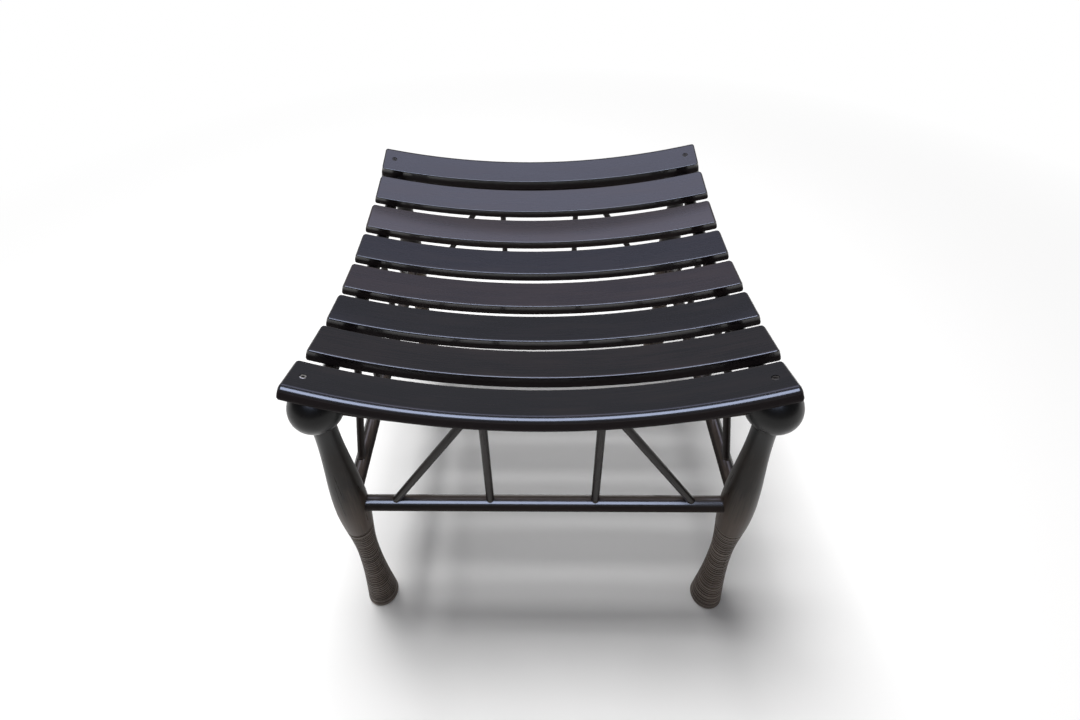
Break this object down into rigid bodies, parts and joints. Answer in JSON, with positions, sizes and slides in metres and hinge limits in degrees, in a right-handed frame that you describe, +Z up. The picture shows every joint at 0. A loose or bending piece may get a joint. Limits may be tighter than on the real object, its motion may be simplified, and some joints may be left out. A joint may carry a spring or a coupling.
{
  "type": "slatted stool",
  "caption": "Square stool with a dished seat of bent slats on turned legs, which dished rails and round stretchers join, with upright and slanted struts between them.",
  "frame": {"origin": "on the floor, midway between the four feet", "axes": "+Z up; -Y is the front; the slats run along X"},
  "size_m": [0.4306, 0.4318, 0.3882],
  "materials": {
    "seat_wood": "ebonised and polished to a satin sheen",
    "turned_wood": "ebonised, satin, worn brown along the ring cuts",
    "screw_steel": "darkened"
  },
  "bodies": {
    "root": {"slat_1": "seat_wood", "slat_2": "seat_wood", "slat_3": "seat_wood", "slat_4": "seat_wood", "slat_5": "seat_wood", "slat_6": "seat_wood", "slat_7": "seat_wood", "slat_8": "seat_wood", "leg_front_left": "turned_wood", "leg_front_right": "turned_wood", "leg_rear_left": "turned_wood", "leg_rear_right": "turned_wood", "seat_rail_front": "turned_wood", "seat_rail_rear": "turned_wood", "seat_rail_left": "turned_wood", "seat_rail_right": "turned_wood", "stretcher_front": "turned_wood", "stretcher_rear": "turned_wood", "stretcher_left": "turned_wood", "stretcher_right": "turned_wood", "upright_front_left": "turned_wood", "upright_front_right": "turned_wood", "upright_right_front": "turned_wood", "upright_right_rear": "turned_wood", "upright_rear_left": "turned_wood", "upright_rear_right": "turned_wood", "upright_left_front": "turned_wood", "upright_left_rear": "turned_wood", "brace_front_left": "turned_wood", "brace_front_right": "turned_wood", "brace_right_front": "turned_wood", "brace_right_rear": "turned_wood", "brace_rear_left": "turned_wood", "brace_rear_right": "turned_wood", "brace_left_front": "turned_wood", "brace_left_rear": "turned_wood", "end_slat_screw_front_left": "screw_steel", "end_slat_screw_front_right": "screw_steel", "end_slat_screw_rear_left": "screw_steel", "end_slat_screw_rear_right": "screw_steel", "slat_screw_2_left": "screw_steel", "slat_screw_2_right": "screw_steel", "slat_screw_3_left": "screw_steel", "slat_screw_3_right": "screw_steel", "slat_screw_4_left": "screw_steel", "slat_screw_4_right": "screw_steel", "slat_screw_5_left": "screw_steel", "slat_screw_5_right": "screw_steel", "slat_screw_6_left": "screw_steel", "slat_screw_6_right": "screw_steel", "slat_screw_7_left": "screw_steel", "slat_screw_7_right": "screw_steel"}
  },
  "joints": []
}
